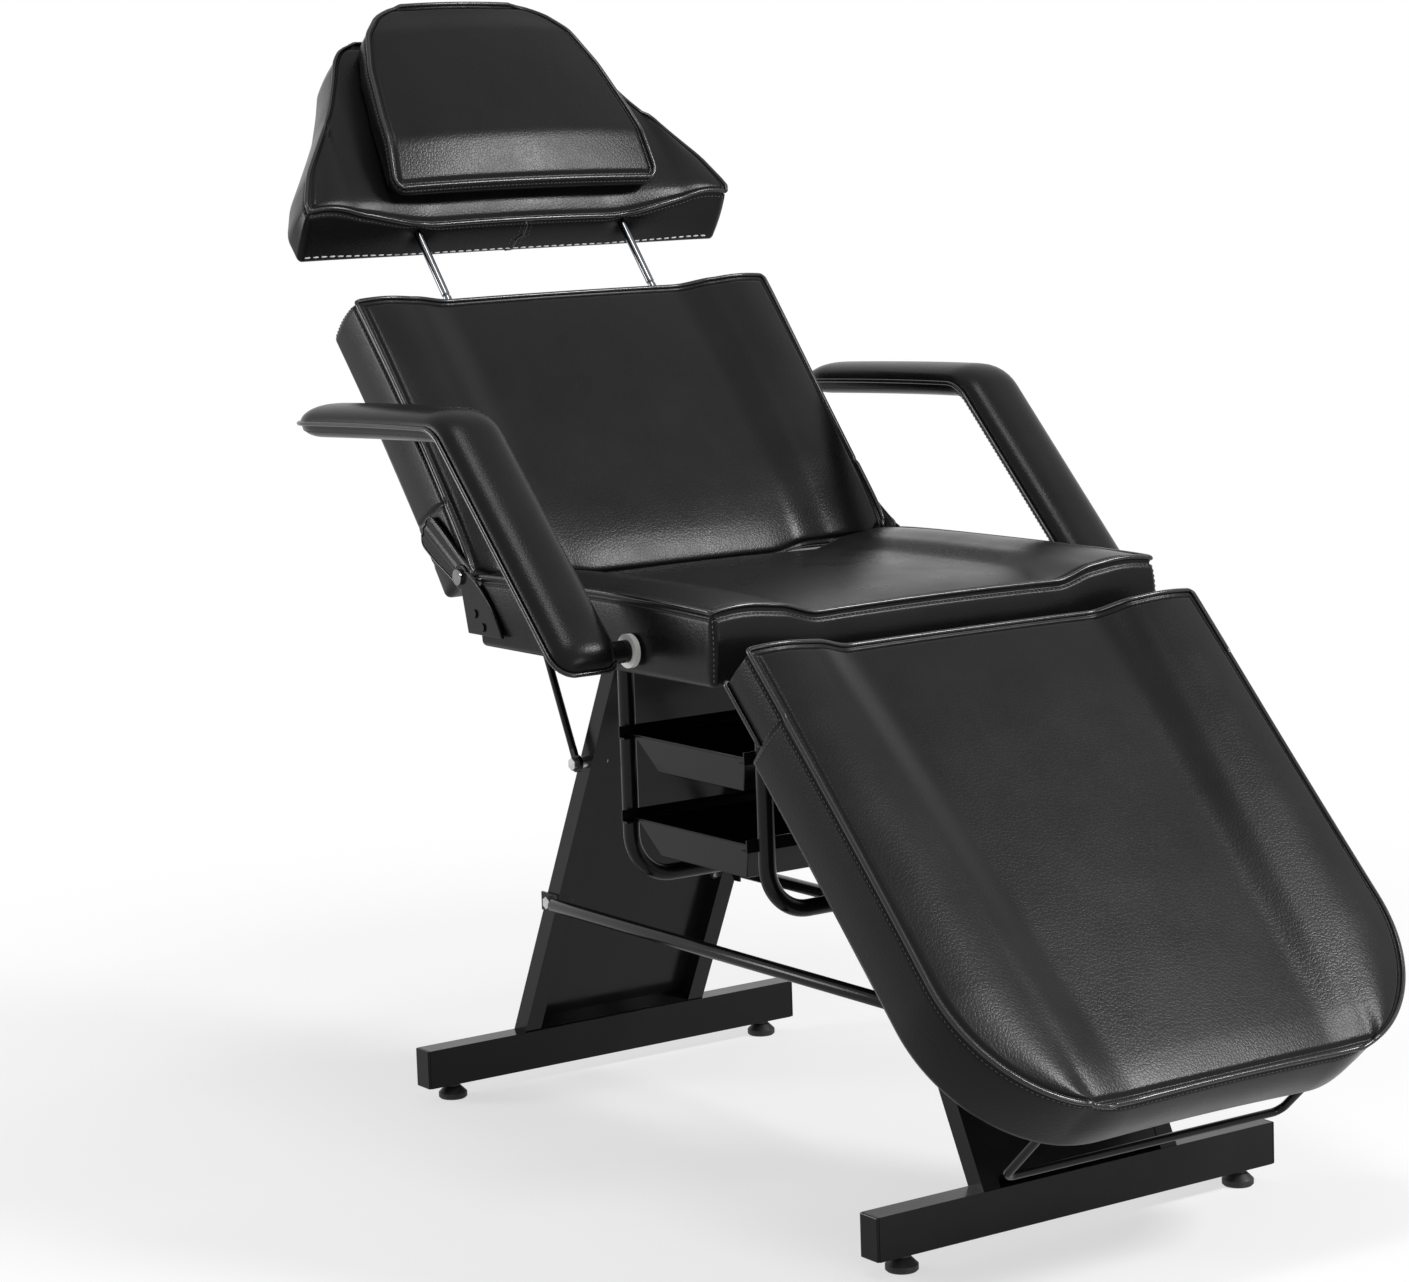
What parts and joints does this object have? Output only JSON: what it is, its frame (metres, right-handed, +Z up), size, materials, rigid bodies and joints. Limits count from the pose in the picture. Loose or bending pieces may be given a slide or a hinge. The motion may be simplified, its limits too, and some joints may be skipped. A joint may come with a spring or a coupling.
{
  "type": "treatment chair",
  "caption": "Upholstered treatment chair on a steel frame: reclining back, folding leg rest, lifting armrests, sliding headrest with a pillow, and trays under the seat.",
  "frame": {"origin": "on the floor under the middle of the overall length", "axes": "+Z up, +Y towards the head end, +X to the sitter's left"},
  "size_m": [0.8, 1.4529, 1.3041],
  "materials": {
    "upholstery": "satin, fine grain",
    "frame_paint": "semi-gloss powder coat",
    "chrome": "polished",
    "zinc": "zinc plated",
    "nylon": "matt",
    "black_plastic": "fine texture",
    "rubber": "matt",
    "plywood": "plain"
  },
  "bodies": {
    "base": {"rear_floor_bar": "frame_paint", "front_floor_bar": "frame_paint", "floor_bar_end_caps": "black_plastic", "rear_leg_frame": "frame_paint", "front_leg_frame": "frame_paint", "left_tie_bar": "frame_paint", "right_tie_bar": "frame_paint", "tie_bar_bolts": "zinc", "back_strut_bolts": "zinc", "seat_frame": "frame_paint", "seat_board": "plywood", "seat_cushion": "upholstery", "left_back_bracket": "frame_paint", "right_back_bracket": "frame_paint", "back_hinge_studs": "zinc", "bracket_screws": "frame_paint", "left_leg_hinge_lugs": "frame_paint", "right_leg_hinge_lugs": "frame_paint", "leg_hinge_pins": "zinc", "armrest_pivot_bolts": "zinc", "armrest_pivot_washers": "nylon", "armrest_pivot_brackets": "frame_paint", "rear_tray_hoop": "frame_paint", "front_tray_hoop": "frame_paint", "upper_tray_rails": "frame_paint", "lower_tray_rails": "frame_paint"},
    "backrest": {"back_cushion": "upholstery", "back_board": "plywood", "post_sockets": "frame_paint", "left_back_ear": "frame_paint", "right_back_ear": "frame_paint", "back_strut_brackets": "frame_paint"},
    "headrest": {"headrest_cushion": "upholstery", "headrest_board": "plywood", "headrest_posts": "chrome", "headrest_pillow": "upholstery"},
    "leg_rest": {"leg_cushion": "upholstery", "leg_board": "plywood", "leg_hinge_board": "plywood", "left_leg_hinge_arm": "frame_paint", "right_leg_hinge_arm": "frame_paint", "foot_lift_bar": "frame_paint", "leg_strut_brackets": "frame_paint"},
    "left_armrest": {"left_armrest_core": "frame_paint", "left_armrest_pad": "upholstery"},
    "right_armrest": {"right_armrest_core": "frame_paint", "right_armrest_pad": "upholstery"},
    "upper_tray": {"upper_tray": "black_plastic"},
    "lower_tray": {"lower_tray": "black_plastic"},
    "back_strut_rods": {"back_strut_rods": "frame_paint"},
    "back_strut_tubes": {"back_strut_tubes": "frame_paint"},
    "leg_strut_rods": {"leg_strut_rods": "frame_paint"},
    "leg_strut_tubes": {"leg_strut_tubes": "frame_paint"},
    "rear_left_foot": {"rear_left_foot": "rubber"},
    "rear_right_foot": {"rear_right_foot": "rubber"},
    "front_left_foot": {"front_left_foot": "rubber"},
    "front_right_foot": {"front_right_foot": "rubber"}
  },
  "joints": [
    {"name": "back_recline", "type": "hinge", "parent": "base", "child": "backrest", "pos_m": [0, 0.20004, 0.65], "axis": [1, 0, 0], "range_deg": [-50, 25]},
    {"name": "headrest_slide", "type": "slide", "parent": "backrest", "child": "headrest", "axis": [0, 0.6293, 0.7771], "range_m": [-0.065, 0.02]},
    {"name": "leg_rest_lift", "type": "hinge", "parent": "base", "child": "leg_rest", "pos_m": [0, -0.28996, 0.575], "axis": [-1, 0, 0], "range_deg": [0, 46.8]},
    {"name": "left_armrest_lift", "type": "hinge", "parent": "base", "child": "left_armrest", "pos_m": [0.36, -0.13496, 0.6], "axis": [1, 0, 0], "range_deg": [0, 95]},
    {"name": "right_armrest_lift", "type": "hinge", "parent": "base", "child": "right_armrest", "pos_m": [-0.36, -0.13496, 0.6], "axis": [1, 0, 0], "range_deg": [0, 95]},
    {"name": "upper_tray_slide", "type": "slide", "parent": "base", "child": "upper_tray", "axis": [1, 0, 0], "range_m": [-0.2, 0.2]},
    {"name": "lower_tray_slide", "type": "slide", "parent": "base", "child": "lower_tray", "axis": [1, 0, 0], "range_m": [-0.2, 0.2]},
    {"name": "back_strut_rod_swing", "type": "hinge", "parent": "base", "child": "back_strut_rods", "pos_m": [0, 0.22404, 0.415], "axis": [1, 0, 0], "range_deg": [-23.5, 12]},
    {"name": "back_strut_tube_swing", "type": "hinge", "parent": "backrest", "child": "back_strut_tubes", "pos_m": [0, 0.38641, 0.76415], "axis": [1, 0, 0], "range_deg": [-13.6, 27]},
    {"name": "leg_strut_rod_swing", "type": "hinge", "parent": "base", "child": "leg_strut_rods", "pos_m": [0, -0.39143, 0.236], "axis": [1, 0, 0], "range_deg": [-0.1, 16.3]},
    {"name": "leg_strut_tube_swing", "type": "hinge", "parent": "leg_rest", "child": "leg_strut_tubes", "pos_m": [0, -0.32197, 0.46787], "axis": [1, 0, 0], "range_deg": [-0.1, 63.1]},
    {"name": "rear_left_foot_turn", "type": "hinge", "parent": "base", "child": "rear_left_foot", "pos_m": [0.227, 0.39454, 0], "axis": [0, 0, 1], "continuous": true},
    {"name": "rear_right_foot_turn", "type": "hinge", "parent": "base", "child": "rear_right_foot", "pos_m": [-0.227, 0.39454, 0], "axis": [0, 0, 1], "continuous": true},
    {"name": "front_left_foot_turn", "type": "hinge", "parent": "base", "child": "front_left_foot", "pos_m": [0.227, -0.47446, 0], "axis": [0, 0, 1], "continuous": true},
    {"name": "front_right_foot_turn", "type": "hinge", "parent": "base", "child": "front_right_foot", "pos_m": [-0.227, -0.47446, 0], "axis": [0, 0, 1], "continuous": true}
  ],
  "couplings": [
    {"joint": "back_strut_rod_swing", "follows": "back_recline", "ratio": 0.4647},
    {"joint": "back_strut_tube_swing", "follows": "back_recline", "ratio": -0.5353},
    {"joint": "leg_strut_rod_swing", "follows": "leg_rest_lift", "ratio": 0.345},
    {"joint": "leg_strut_tube_swing", "follows": "leg_rest_lift", "ratio": 1.345}
  ]
}
